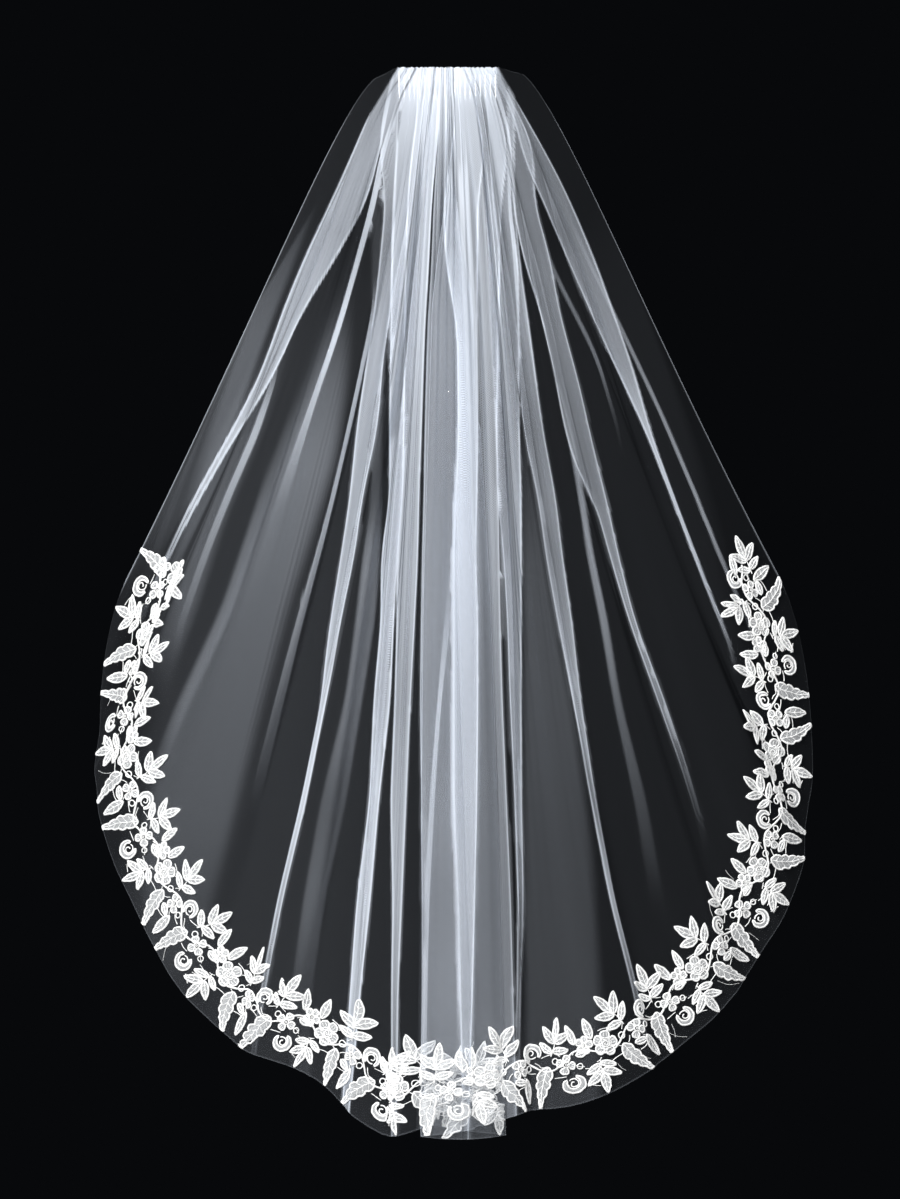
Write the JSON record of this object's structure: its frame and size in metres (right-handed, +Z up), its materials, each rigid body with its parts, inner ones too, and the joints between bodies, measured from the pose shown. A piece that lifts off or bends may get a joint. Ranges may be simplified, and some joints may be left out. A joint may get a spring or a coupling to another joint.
{
  "type": "bridal veil",
  "caption": "Fingertip tulle bridal veil gathered on a hair comb at its straight top edge, falling in narrow pleats to a rounded hem trimmed with open floral corded lace",
  "frame": {"origin": "middle of the gathered top edge, where the comb holds the veil", "axes": "+Z up, the hem is toward -Z; -Y is the outer side of the cloth; the hollow for the wearer's back is on the +Y side; +X runs along the comb"},
  "size_m": [0.6943, 0.1664, 1.0176],
  "materials": {
    "tulle": "fine soft bridal net, sheer white with a soft sheen",
    "lace": "matt white corded embroidery with a light filling",
    "clear_plastic": "clear moulded comb"
  },
  "bodies": {
    "root": {"veil_tulle": "tulle", "comb": "clear_plastic", "lace_left": "lace", "lace_middle": "lace", "lace_right": "lace"}
  },
  "joints": []
}
